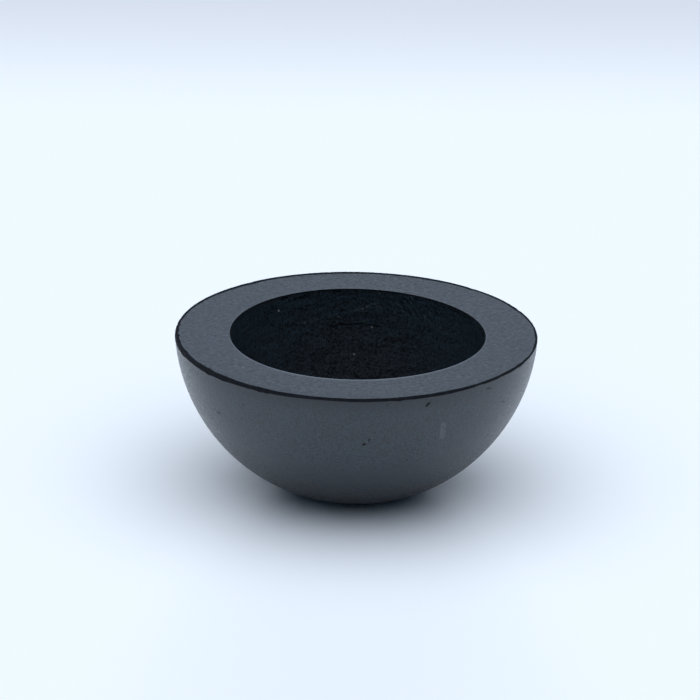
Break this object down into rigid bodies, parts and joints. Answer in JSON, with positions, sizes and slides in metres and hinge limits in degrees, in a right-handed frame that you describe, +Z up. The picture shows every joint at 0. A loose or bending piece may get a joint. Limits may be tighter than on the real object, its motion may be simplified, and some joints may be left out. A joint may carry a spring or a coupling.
{
  "type": "stone bowl",
  "caption": "Thick-walled black stone bowl carved from a ball, with a broad flat rim, a round hollow and a small flat foot to stand on.",
  "frame": {"origin": "centre of the flat that the bowl stands on", "axes": "+Z up along the bowl's axis, out of the hollow; -Y towards the picture's viewer, +X to the viewer's right"},
  "size_m": [0.0698, 0.0698, 0.0311],
  "materials": {
    "stone": "satin"
  },
  "bodies": {
    "root": {"bowl": "stone"}
  },
  "joints": []
}
